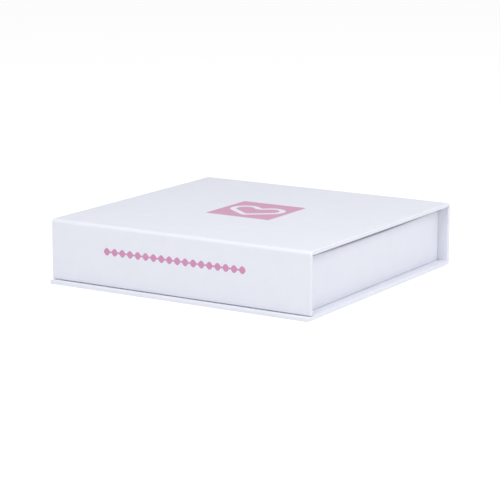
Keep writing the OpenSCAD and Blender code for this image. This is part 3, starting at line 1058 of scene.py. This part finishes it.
def fibre_material(name, tint, stretch, contrast, roughness):
    """Board or kraft paper of pressed fibres: long streaks one way, dark flecks, and a felted
    relief."""
    material = bpy.data.materials.new(name)
    material.use_nodes = True
    nodes, links = material.node_tree.nodes, material.node_tree.links
    nodes.clear()

    fibres = nodes.new("NodeFrame")
    fibres.label = "Fibres"
    specks = nodes.new("NodeFrame")
    specks.label = "Flecks"

    place = nodes.new("ShaderNodeTexCoord")
    place.label = "Place on the box"
    place.location = (-1300, 0)

    grain = nodes.new("ShaderNodeMapping")
    grain.label = "Along the grain"
    grain.location = (-1100, 200)
    grain.parent = fibres
    grain.inputs["Scale"].default_value = (1.0, stretch, stretch)

    streaks = nodes.new("ShaderNodeTexNoise")
    streaks.label = "Streaks of fibre"
    streaks.location = (-900, 200)
    streaks.parent = fibres
    streaks.inputs["Scale"].default_value = 420.0
    streaks.inputs["Detail"].default_value = 8.0
    streaks.inputs["Roughness"].default_value = 0.7
    streaks.inputs["Distortion"].default_value = 0.6

    tone = nodes.new("ShaderNodeValToRGB")
    tone.label = "Dark and pale fibres"
    tone.location = (-680, 200)
    tone.parent = fibres
    tone.color_ramp.elements[0].position = 0.3
    tone.color_ramp.elements[0].color = (*[c * (1 - contrast) for c in tint], 1.0)
    tone.color_ramp.elements[1].position = 0.7
    tone.color_ramp.elements[1].color = (*[min(1.0, c * (1 + contrast)) for c in tint], 1.0)

    flecks = nodes.new("ShaderNodeTexVoronoi")
    flecks.label = "Flecks of old print"
    flecks.location = (-900, -150)
    flecks.parent = specks
    flecks.inputs["Scale"].default_value = 900.0

    few = nodes.new("ShaderNodeMapRange")
    few.label = "Only the small ones"
    few.location = (-680, -150)
    few.parent = specks
    few.inputs["From Min"].default_value = 0.06
    few.inputs["From Max"].default_value = 0.16
    few.inputs["To Min"].default_value = 0.7
    few.inputs["To Max"].default_value = 0.0

    flecked = nodes.new("ShaderNodeMix")
    flecked.label = "Flecks over the fibres"
    flecked.data_type = "RGBA"
    flecked.location = (-380, 100)
    flecked.inputs["B"].default_value = (*[c * 0.45 for c in tint], 1.0)

    relief = nodes.new("ShaderNodeBump")
    relief.label = "Felted surface"
    relief.location = (-380, -200)
    relief.inputs["Strength"].default_value = 0.6
    relief.inputs["Distance"].default_value = 0.00005

    surface = nodes.new("ShaderNodeBsdfPrincipled")
    surface.label = "Pressed fibres"
    surface.location = (-100, 100)
    surface.inputs["Roughness"].default_value = roughness
    surface.inputs["Specular IOR Level"].default_value = 0.2

    result = nodes.new("ShaderNodeOutputMaterial")
    result.location = (200, 100)

    links.new(place.outputs["Object"], grain.inputs["Vector"])
    links.new(grain.outputs["Vector"], streaks.inputs["Vector"])
    links.new(place.outputs["Object"], flecks.inputs["Vector"])
    links.new(streaks.outputs["Fac"], tone.inputs["Fac"])
    links.new(flecks.outputs["Distance"], few.inputs["Value"])
    links.new(few.outputs["Result"], flecked.inputs["Factor"])
    links.new(tone.outputs["Color"], flecked.inputs["A"])
    links.new(flecked.outputs["Result"], surface.inputs["Base Color"])
    links.new(streaks.outputs["Fac"], relief.inputs["Height"])
    links.new(relief.outputs["Normal"], surface.inputs["Normal"])
    links.new(surface.outputs["BSDF"], result.inputs["Surface"])
    return material


def glue_material(tint):
    """Dried animal glue, brushed on: amber where it is thick, with brush marks and a soft gloss."""
    material = bpy.data.materials.new("dried_glue")
    material.use_nodes = True
    nodes, links = material.node_tree.nodes, material.node_tree.links
    nodes.clear()

    brushed = nodes.new("NodeFrame")
    brushed.label = "Brushed coat"

    place = nodes.new("ShaderNodeTexCoord")
    place.label = "Place on the box"
    place.location = (-1100, 0)

    strokes = nodes.new("ShaderNodeTexWave")
    strokes.label = "Brush marks"
    strokes.location = (-880, 150)
    strokes.parent = brushed
    strokes.inputs["Scale"].default_value = 120.0
    strokes.inputs["Distortion"].default_value = 6.0
    strokes.inputs["Detail"].default_value = 3.0

    pools = nodes.new("ShaderNodeTexNoise")
    pools.label = "Thick and thin places"
    pools.location = (-880, -150)
    pools.parent = brushed
    pools.inputs["Scale"].default_value = 90.0
    pools.inputs["Detail"].default_value = 3.0

    depth = nodes.new("ShaderNodeMix")
    depth.label = "Depth of the coat"
    depth.data_type = "RGBA"
    depth.location = (-600, 0)
    depth.parent = brushed
    depth.inputs["A"].default_value = (*tint, 1.0)
    depth.inputs["B"].default_value = (*[c * f for c, f in zip(tint, (0.85, 0.7, 0.5))], 1.0)

    relief = nodes.new("ShaderNodeBump")
    relief.label = "Ridges of the brush"
    relief.location = (-600, -300)
    relief.inputs["Strength"].default_value = 0.4
    relief.inputs["Distance"].default_value = 0.00004

    surface = nodes.new("ShaderNodeBsdfPrincipled")
    surface.label = "Dried glue"
    surface.location = (-300, 0)
    surface.inputs["Roughness"].default_value = 0.32
    surface.inputs["Subsurface Weight"].default_value = 0.2
    surface.inputs["Subsurface Scale"].default_value = 0.0005

    result = nodes.new("ShaderNodeOutputMaterial")
    result.location = (0, 0)

    links.new(place.outputs["Object"], strokes.inputs["Vector"])
    links.new(place.outputs["Object"], pools.inputs["Vector"])
    links.new(pools.outputs["Fac"], depth.inputs["Factor"])
    links.new(depth.outputs["Result"], surface.inputs["Base Color"])
    links.new(strokes.outputs["Fac"], relief.inputs["Height"])
    links.new(relief.outputs["Normal"], surface.inputs["Normal"])
    links.new(surface.outputs["BSDF"], result.inputs["Surface"])
    return material


def metal_material(name, tint, polish):
    """Plated metal of the closure's discs: cloudy plating, uneven polish and fine scratches."""
    material = bpy.data.materials.new(name)
    material.use_nodes = True
    nodes, links = material.node_tree.nodes, material.node_tree.links
    nodes.clear()

    plating = nodes.new("NodeFrame")
    plating.label = "Plating"
    marks = nodes.new("NodeFrame")
    marks.label = "Scratches"

    place = nodes.new("ShaderNodeTexCoord")
    place.label = "Place on the box"
    place.location = (-1100, 0)

    cloud = nodes.new("ShaderNodeTexNoise")
    cloud.label = "Cloudy plating"
    cloud.location = (-880, 250)
    cloud.parent = plating
    cloud.inputs["Scale"].default_value = 500.0
    cloud.inputs["Detail"].default_value = 4.0

    tone = nodes.new("ShaderNodeMix")
    tone.label = "Bright and dull metal"
    tone.data_type = "RGBA"
    tone.location = (-600, 250)
    tone.parent = plating
    tone.inputs["A"].default_value = (*[c * 0.8 for c in tint], 1.0)
    tone.inputs["B"].default_value = (*tint, 1.0)

    sheen = nodes.new("ShaderNodeMapRange")
    sheen.label = "Polish from place to place"
    sheen.location = (-600, 0)
    sheen.parent = plating
    sheen.inputs["To Min"].default_value = polish
    sheen.inputs["To Max"].default_value = polish + 0.15

    long_way = nodes.new("ShaderNodeMapping")
    long_way.label = "Along the scratches"
    long_way.location = (-880, -250)
    long_way.parent = marks
    long_way.inputs["Scale"].default_value = (60.0, 4000.0, 4000.0)

    scratches = nodes.new("ShaderNodeTexNoise")
    scratches.label = "Fine scratches"
    scratches.location = (-680, -250)
    scratches.parent = marks
    scratches.inputs["Scale"].default_value = 1.0
    scratches.inputs["Detail"].default_value = 2.0

    relief = nodes.new("ShaderNodeBump")
    relief.label = "Depth of the scratches"
    relief.location = (-450, -250)
    relief.parent = marks
    relief.inputs["Strength"].default_value = 0.25
    relief.inputs["Distance"].default_value = 0.00001

    surface = nodes.new("ShaderNodeBsdfPrincipled")
    surface.label = "Plated metal"
    surface.location = (-150, 100)
    surface.inputs["Metallic"].default_value = 1.0

    result = nodes.new("ShaderNodeOutputMaterial")
    result.location = (150, 100)

    links.new(place.outputs["Object"], cloud.inputs["Vector"])
    links.new(place.outputs["Object"], long_way.inputs["Vector"])
    links.new(long_way.outputs["Vector"], scratches.inputs["Vector"])
    links.new(cloud.outputs["Fac"], tone.inputs["Factor"])
    links.new(cloud.outputs["Fac"], sheen.inputs["Value"])
    links.new(tone.outputs["Result"], surface.inputs["Base Color"])
    links.new(sheen.outputs["Result"], surface.inputs["Roughness"])
    links.new(scratches.outputs["Fac"], relief.inputs["Height"])
    links.new(relief.outputs["Normal"], surface.inputs["Normal"])
    links.new(surface.outputs["BSDF"], result.inputs["Surface"])
    return material


def foam_material(tint, cell):
    """Charcoal foam: open cells with painted shade in their hollows and a painted highlight on the
    struts between them, a little dust, and a dry sheen.
    """
    material = bpy.data.materials.new("charcoal_foam")
    material.use_nodes = True
    nodes, links = material.node_tree.nodes, material.node_tree.links
    nodes.clear()

    cells = nodes.new("NodeFrame")
    cells.label = "Cells"
    dust = nodes.new("NodeFrame")
    dust.label = "Dust and unevenness"

    place = nodes.new("ShaderNodeTexCoord")
    place.label = "Place on the box"
    place.location = (-1300, 0)

    hollows = nodes.new("ShaderNodeTexVoronoi")
    hollows.label = "Large cells"
    hollows.location = (-1050, 300)
    hollows.parent = cells
    hollows.feature = "SMOOTH_F1"
    hollows.inputs["Scale"].default_value = 1 / cell
    hollows.inputs["Smoothness"].default_value = 0.6

    small = nodes.new("ShaderNodeTexVoronoi")
    small.label = "Small cells"
    small.location = (-1050, 50)
    small.parent = cells
    small.inputs["Scale"].default_value = 2.3 / cell

    depth = nodes.new("ShaderNodeMath")
    depth.label = "Both sizes of cell"
    depth.operation = "MULTIPLY_ADD"
    depth.location = (-820, 200)
    depth.parent = cells
    depth.inputs[1].default_value = 0.5

    # painted shade and highlight: the cells' hollows darker and their struts paler than the foam's
    # charcoal, by the same depth that makes the relief
    painted_cell_shade = nodes.new("ShaderNodeMix")
    painted_cell_shade.label = "Hollows and ribs"
    painted_cell_shade.data_type = "RGBA"
    painted_cell_shade.location = (-600, 250)
    painted_cell_shade.parent = cells
    painted_cell_shade.inputs["A"].default_value = (*[c * 0.45 for c in tint], 1.0)
    painted_cell_shade.inputs["B"].default_value = (*[c * 1.9 for c in tint], 1.0)

    patches = nodes.new("ShaderNodeTexNoise")
    patches.label = "Dusty patches"
    patches.location = (-820, -200)
    patches.parent = dust
    patches.inputs["Scale"].default_value = 60.0
    patches.inputs["Detail"].default_value = 6.0

    little = nodes.new("ShaderNodeMapRange")
    little.label = "Only a little dust"
    little.location = (-600, -200)
    little.parent = dust
    little.inputs["From Min"].default_value = 0.45
    little.inputs["From Max"].default_value = 0.8
    little.inputs["To Max"].default_value = 0.12

    dusty = nodes.new("ShaderNodeMix")
    dusty.label = "Dust on the foam"
    dusty.data_type = "RGBA"
    dusty.location = (-350, 100)
    dusty.parent = dust
    dusty.inputs["B"].default_value = (0.16, 0.16, 0.17, 1.0)

    relief = nodes.new("ShaderNodeBump")
    relief.label = "Relief of the cells"
    relief.location = (-350, -200)
    relief.inputs["Strength"].default_value = 0.9
    relief.inputs["Distance"].default_value = 0.0002

    surface = nodes.new("ShaderNodeBsdfPrincipled")
    surface.label = "Foam"
    surface.location = (-100, 100)
    surface.inputs["Roughness"].default_value = 0.92
    surface.inputs["Specular IOR Level"].default_value = 0.15
    surface.inputs["Sheen Weight"].default_value = 0.15
    surface.inputs["Sheen Roughness"].default_value = 0.5

    result = nodes.new("ShaderNodeOutputMaterial")
    result.location = (200, 100)

    links.new(place.outputs["Object"], hollows.inputs["Vector"])
    links.new(place.outputs["Object"], small.inputs["Vector"])
    links.new(place.outputs["Object"], patches.inputs["Vector"])
    links.new(small.outputs["Distance"], depth.inputs[0])
    links.new(hollows.outputs["Distance"], depth.inputs[2])
    links.new(depth.outputs["Value"], painted_cell_shade.inputs["Factor"])
    links.new(patches.outputs["Fac"], little.inputs["Value"])
    links.new(little.outputs["Result"], dusty.inputs["Factor"])
    links.new(painted_cell_shade.outputs["Result"], dusty.inputs["A"])
    links.new(dusty.outputs["Result"], surface.inputs["Base Color"])
    links.new(depth.outputs["Value"], relief.inputs["Height"])
    links.new(relief.outputs["Normal"], surface.inputs["Normal"])
    links.new(surface.outputs["BSDF"], result.inputs["Surface"])
    return material


def quartz_material(stone):
    """Polished rose quartz: milky clouds in a deeper rose, fine healed cracks, light that sinks in,
    and a glassy polish with faint ripples."""
    material = bpy.data.materials.new("rose_quartz")
    material.use_nodes = True
    nodes, links = material.node_tree.nodes, material.node_tree.links
    nodes.clear()

    clouds = nodes.new("NodeFrame")
    clouds.label = "Milky clouds"
    cracks = nodes.new("NodeFrame")
    cracks.label = "Healed cracks"
    gloss = nodes.new("NodeFrame")
    gloss.label = "Polish"

    place = nodes.new("ShaderNodeTexCoord")
    place.label = "Place on the box"
    place.location = (-1500, 0)

    drift = nodes.new("ShaderNodeTexNoise")
    drift.label = "Drifting clouds"
    drift.location = (-1250, 350)
    drift.parent = clouds
    drift.inputs["Scale"].default_value = 38.0
    drift.inputs["Detail"].default_value = 6.0
    drift.inputs["Roughness"].default_value = 0.62
    drift.inputs["Distortion"].default_value = 1.4

    milk = nodes.new("ShaderNodeValToRGB")
    milk.label = "From rose to milk"
    milk.location = (-1000, 350)
    milk.parent = clouds
    milk.color_ramp.elements[0].position = 0.32
    milk.color_ramp.elements[0].color = (*stone.rose, 1.0)
    milk.color_ramp.elements[1].position = 0.68
    milk.color_ramp.elements[1].color = (*stone.milk, 1.0)

    bend = nodes.new("ShaderNodeTexNoise")
    bend.label = "Wandering of the cracks"
    bend.location = (-1250, -50)
    bend.parent = cracks
    bend.inputs["Scale"].default_value = 70.0
    bend.inputs["Detail"].default_value = 3.0

    wander = nodes.new("ShaderNodeVectorMath")
    wander.label = "How far they wander"
    wander.operation = "SCALE"
    wander.location = (-1050, -50)
    wander.parent = cracks
    wander.inputs["Scale"].default_value = 0.012

    bent = nodes.new("ShaderNodeVectorMath")
    bent.label = "Bent places"
    bent.operation = "ADD"
    bent.location = (-880, -50)
    bent.parent = cracks

    sheets = nodes.new("ShaderNodeTexNoise")
    sheets.label = "Folded sheets of cracks"
    sheets.location = (-700, -50)
    sheets.parent = cracks
    sheets.inputs["Scale"].default_value = 32.0
    sheets.inputs["Detail"].default_value = 1.5
    sheets.inputs["Distortion"].default_value = 1.1

    across = nodes.new("ShaderNodeMath")
    across.label = "To one side of a crack"
    across.operation = "SUBTRACT"
    across.location = (-520, -50)
    across.parent = cracks
    across.inputs[1].default_value = 0.5

    away = nodes.new("ShaderNodeMath")
    away.label = "Distance from a crack"
    away.operation = "ABSOLUTE"
    away.location = (-340, -50)
    away.parent = cracks

    thin = nodes.new("ShaderNodeMapRange")
    thin.label = "Thin veins"
    thin.location = (-160, -50)
    thin.parent = cracks
    thin.inputs["From Max"].default_value = 0.012
    thin.inputs["To Min"].default_value = 0.45
    thin.inputs["To Max"].default_value = 0.0

    broken = nodes.new("ShaderNodeMath")
    broken.label = "Veins broken by the clouds"
    broken.operation = "MULTIPLY"
    broken.location = (20, -50)
    broken.parent = cracks

    veined = nodes.new("ShaderNodeMix")
    veined.label = "Veins in the clouds"
    veined.data_type = "RGBA"
    veined.location = (-300, 250)
    veined.parent = cracks
    veined.inputs["B"].default_value = (*stone.vein, 1.0)

    ripple = nodes.new("ShaderNodeTexNoise")
    ripple.label = "Ripples left by the wheel"
    ripple.location = (-700, -350)
    ripple.parent = gloss
    ripple.inputs["Scale"].default_value = 160.0
    ripple.inputs["Detail"].default_value = 1.0

    faint = nodes.new("ShaderNodeBump")
    faint.label = "Faint ripples"
    faint.location = (-300, -350)
    faint.parent = gloss
    faint.inputs["Strength"].default_value = 0.12
    faint.inputs["Distance"].default_value = 0.00006

    smears = nodes.new("ShaderNodeMapRange")
    smears.label = "Polish from place to place"
    smears.location = (-300, -100)
    smears.parent = gloss
    smears.inputs["To Min"].default_value = 0.07
    smears.inputs["To Max"].default_value = 0.16

    surface = nodes.new("ShaderNodeBsdfPrincipled")
    surface.label = "Rose quartz"
    surface.location = (0, 150)
    surface.subsurface_method = "RANDOM_WALK"
    surface.inputs["IOR"].default_value = 1.54
    surface.inputs["Subsurface Weight"].default_value = 0.65
    surface.inputs["Subsurface Radius"].default_value = (1.0, 0.55, 0.5)
    surface.inputs["Subsurface Scale"].default_value = 0.004
    surface.inputs["Coat Weight"].default_value = 0.3
    surface.inputs["Coat Roughness"].default_value = 0.04

    result = nodes.new("ShaderNodeOutputMaterial")
    result.location = (320, 150)

    links.new(place.outputs["Object"], drift.inputs["Vector"])
    links.new(place.outputs["Object"], bend.inputs["Vector"])
    links.new(place.outputs["Object"], ripple.inputs["Vector"])
    links.new(place.outputs["Object"], bent.inputs[0])
    links.new(bend.outputs["Color"], wander.inputs[0])
    links.new(wander.outputs["Vector"], bent.inputs[1])
    links.new(bent.outputs["Vector"], sheets.inputs["Vector"])
    links.new(sheets.outputs["Fac"], across.inputs[0])
    links.new(across.outputs["Value"], away.inputs[0])
    links.new(away.outputs["Value"], thin.inputs["Value"])
    links.new(thin.outputs["Result"], broken.inputs[0])
    links.new(drift.outputs["Fac"], broken.inputs[1])
    links.new(drift.outputs["Fac"], milk.inputs["Fac"])
    links.new(milk.outputs["Color"], veined.inputs["A"])
    links.new(broken.outputs["Value"], veined.inputs["Factor"])
    links.new(veined.outputs["Result"], surface.inputs["Base Color"])
    links.new(ripple.outputs["Fac"], faint.inputs["Height"])
    links.new(ripple.outputs["Fac"], smears.inputs["Value"])
    links.new(smears.outputs["Result"], surface.inputs["Roughness"])
    links.new(faint.outputs["Normal"], surface.inputs["Normal"])
    links.new(surface.outputs["BSDF"], result.inputs["Surface"])
    return material


def table_material(glow):
    """A backlit table of milky glass: it glows, and takes little light from above."""
    material = bpy.data.materials.new("glowing_table")
    material.use_nodes = True
    nodes, links = material.node_tree.nodes, material.node_tree.links
    nodes.clear()

    top = nodes.new("ShaderNodeBsdfDiffuse")
    top.label = "White table top"
    top.location = (-300, 100)
    top.inputs["Color"].default_value = (0.25, 0.25, 0.25, 1.0)

    light = nodes.new("ShaderNodeEmission")
    light.label = "Light from under the top"
    light.location = (-300, -100)
    light.inputs["Strength"].default_value = glow

    both = nodes.new("ShaderNodeAddShader")
    both.label = "Lit and glowing"
    both.location = (-50, 0)

    result = nodes.new("ShaderNodeOutputMaterial")
    result.location = (150, 0)

    links.new(top.outputs["BSDF"], both.inputs[0])
    links.new(light.outputs["Emission"], both.inputs[1])
    links.new(both.outputs["Shader"], result.inputs["Surface"])
    return material


# ---- operators ------------------------------------------------------------------------------


class GIFTBOX_OT_wrap_panels(bpy.types.Operator):
    """Wrap the base, spine, lid and flap boards in the outer paper"""

    bl_idname = "giftbox.wrap_panels"
    bl_label = "Wrap the panels"

    def execute(self, context):
        paper = context.scene.box_paper
        material = paper_material("cover_paper", paper.cover, paper.cover_roughness)
        for name, panel in PANELS.items():
            points, faces, edge = wrapped_panel(name, paper)
            make_piece(
                f"{name}_paper", points, faces, material, panel["body"],
                [f"{name}_wrap"], edge,
            )
        for node, crease in CREASES.items():
            points, faces, edge = crease_sheet(node, paper)
            first, second = crease["bodies"]
            moving = first != second
            piece = make_piece(
                f"{node}_paper", points, faces, material, None if moving else first,
                [node], edge,
            )
            if moving:
                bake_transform(piece)
        points, faces = groove_paper(paper)
        make_piece("base_groove_paper", points, faces, material, "root")
        return {"FINISHED"}


class GIFTBOX_OT_line_panels(bpy.types.Operator):
    """Line the inner faces of the spine, the lid and the flap"""

    bl_idname = "giftbox.line_panels"
    bl_label = "Line the panels"

    def execute(self, context):
        paper = context.scene.box_paper
        material = paper_material("lining_paper", paper.lining, paper.lining_roughness)
        for name in ["spine", "lid", "flap"]:
            points, faces = lining_sheet(name, paper)
            make_piece(
                f"{name}_lining", points, faces, material, PANELS[name]["body"],
                [f"{name}_liner"],
            )
        return {"FINISHED"}


class GIFTBOX_OT_wrap_tray(bpy.types.Operator):
    """Wrap the tray's walls in paper"""

    bl_idname = "giftbox.wrap_tray"
    bl_label = "Wrap the tray"

    def execute(self, context):
        paper = context.scene.box_paper
        points, faces, edge = tray_paper(paper)
        material = paper_material("tray_paper", paper.cover, paper.cover_roughness)
        make_piece("tray_paper", points, faces, material, "root", ["tray_wrap"], edge)
        return {"FINISHED"}


class GIFTBOX_OT_cut_foam(bpy.types.Operator):
    """Make the foam pad and the cut-out foam over it"""

    bl_idname = "giftbox.cut_foam"
    bl_label = "Cut the foam"

    def execute(self, context):
        foam, stone = context.scene.box_foam, context.scene.box_stone
        material = foam_material(foam.colour, foam.cell)
        surfaces = {"foam_pad": foam_pad_surface(foam), "foam_frame": foam_frame_surface(foam, stone)}
        for node, (points, faces) in surfaces.items():
            piece = make_piece(f"{node}_cut", points, faces, material, "root", [node])
        return {"FINISHED"}


class GIFTBOX_OT_polish_stone(bpy.types.Operator):
    """Make the polished rose quartz heart"""

    bl_idname = "giftbox.polish_stone"
    bl_label = "Polish the stone"

    def execute(self, context):
        stone = context.scene.box_stone
        points, faces = stone_surface(stone)
        make_piece(
            "polished_stone", points, faces, quartz_material(stone), "stone",
            ["gua_sha_stone"],
        )
        return {"FINISHED"}


class GIFTBOX_OT_print_marks(bpy.types.Operator):
    """Print the square with a heart on the lid and the row of lozenges on the flap"""

    bl_idname = "giftbox.print_marks"
    bl_label = "Print the marks"

    def execute(self, context):
        prints, stone = context.scene.box_print, context.scene.box_stone
        points, faces = lid_print(prints, stone)
        make_piece("lid_print", points, faces, ink_material("lid_ink", prints.ink), "lid")
        points, faces = flap_print(prints)
        make_piece("flap_print", points, faces, ink_material("flap_ink", prints.flap_ink), "flap")
        return {"FINISHED"}


class GIFTBOX_OT_finish_cores(bpy.types.Operator):
    """Give the boards, stays, glue, floor lining, magnets and keepers their finishes"""

    bl_idname = "giftbox.finish_cores"
    bl_label = "Finish the cores"

    def execute(self, context):
        paper, closure = context.scene.box_paper, context.scene.box_closure
        board = fibre_material("greyboard", paper.board, stretch=2.5, contrast=0.35, roughness=0.9)
        kraft = fibre_material("kraft_paper", paper.kraft, stretch=6.0, contrast=0.22, roughness=0.75)
        glue = glue_material(paper.glue)
        finishes = {
            "tray_corner_stays": kraft,
            "tray_liner": paper_material("floor_lining", paper.lining, paper.lining_roughness),
            "flap_magnets": metal_material("nickel_plate", closure.nickel, closure.nickel_polish),
            "tray_keepers": metal_material("zinc_plate", closure.zinc, closure.zinc_polish),
        }
        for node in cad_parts:
            if node.endswith("_adhesive"):
                finishes[node] = glue
            elif node.endswith(("_board", "_wall")) or node == "tray_floor":
                finishes[node] = board
        for node, material in finishes.items():
            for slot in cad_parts[node].material_slots:
                slot.material = material
        return {"FINISHED"}


class GIFTBOX_OT_set_stage(bpy.types.Operator):
    """Set the white table, the even room light, the three softboxes and the camera"""

    bl_idname = "giftbox.set_stage"
    bl_label = "Set the stage"

    def execute(self, context):
        scene = context.scene
        stage = scene.box_stage
        mesh = bpy.data.meshes.new("table")
        reach = stage.table_reach
        corners = [(-reach, -reach, 0), (reach, -reach, 0), (reach, reach, 0), (-reach, reach, 0)]
        mesh.from_pydata(corners, [], [(0, 1, 2, 3)])
        mesh.materials.append(table_material(stage.table))
        table = bpy.data.objects.new("table", mesh)
        scene.collection.objects.link(table)

        room = bpy.data.worlds.new("white_room")
        room.use_nodes = True
        background = room.node_tree.nodes["Background"]
        background.inputs["Color"].default_value = (1, 1, 1, 1)
        background.inputs["Strength"].default_value = stage.room
        scene.world = room

        softboxes = {
            "overhead_softbox": (stage.overhead, (0.1, -0.45, 0.8)),
            "right_softbox": (stage.right, (0.7, 0.1, 0.7)),
            "front_softbox": (stage.front, (0.75, -0.5, 0.5)),
        }
        for name, (power, place) in softboxes.items():
            softbox = bpy.data.lights.new(name, "AREA")
            softbox.shape = "SQUARE"
            softbox.size = stage.softbox
            softbox.energy = power
            lamp = bpy.data.objects.new(name, softbox)
            lamp.location = place
            lamp.rotation_mode = "QUATERNION"
            lamp.rotation_quaternion = (-Vector(place)).to_track_quat("-Z", "Y")
            scene.collection.objects.link(lamp)

        camera = bpy.data.cameras.new("camera")
        camera.lens = stage.lens
        camera.sensor_width = stage.film_width
        camera.clip_start = 0.01
        camera.clip_end = 50.0
        turn, tilt = stage.azimuth, stage.elevation
        level = math.cos(tilt)
        back = Vector((math.sin(turn) * level, -math.cos(turn) * level, math.sin(tilt)))
        right = Vector((math.cos(turn), math.sin(turn), 0))
        target = stage.target_right * right + Vector((0, 0, stage.target_up))
        eye = bpy.data.objects.new("camera", camera)
        eye.rotation_mode = "QUATERNION"
        eye.location = target + stage.distance * back
        eye.rotation_quaternion = (-back).to_track_quat("-Z", "Y")
        scene.collection.objects.link(eye)
        scene.camera = eye
        scene.view_settings.view_transform = "Standard"
        return {"FINISHED"}


OPERATORS = [
    GIFTBOX_OT_wrap_panels,
    GIFTBOX_OT_line_panels,
    GIFTBOX_OT_wrap_tray,
    GIFTBOX_OT_cut_foam,
    GIFTBOX_OT_polish_stone,
    GIFTBOX_OT_print_marks,
    GIFTBOX_OT_finish_cores,
    GIFTBOX_OT_set_stage,
]


class GIFTBOX_PT_pieces(bpy.types.Panel):
    """Lists the steps that dress the box"""

    bl_idname = "GIFTBOX_PT_pieces"
    bl_label = "Gift box"
    bl_space_type = "VIEW_3D"
    bl_region_type = "UI"
    bl_category = "Gift box"

    def draw(self, context):
        for operator in OPERATORS:
            self.layout.operator(operator.bl_idname)


def register():
    """Makes the settings, the steps and the panel known to Blender."""
    for settings in SETTINGS.values():
        bpy.utils.register_class(settings)
    for name, settings in SETTINGS.items():
        setattr(bpy.types.Scene, name, PointerProperty(type=settings))
    for made in [*OPERATORS, GIFTBOX_PT_pieces]:
        bpy.utils.register_class(made)


def unregister():
    """Takes away what register made known, the last first."""
    for made in [GIFTBOX_PT_pieces, *OPERATORS[::-1]]:
        bpy.utils.unregister_class(made)
    for name, settings in reversed(SETTINGS.items()):
        delattr(bpy.types.Scene, name)
        bpy.utils.unregister_class(settings)


def main():
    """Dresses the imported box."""
    register()
    bpy.ops.giftbox.wrap_panels()
    bpy.ops.giftbox.line_panels()
    bpy.ops.giftbox.wrap_tray()
    bpy.ops.giftbox.cut_foam()
    bpy.ops.giftbox.polish_stone()
    bpy.ops.giftbox.print_marks()
    bpy.ops.giftbox.finish_cores()
    bpy.ops.giftbox.set_stage()


if __name__ == "__main__":
    main()
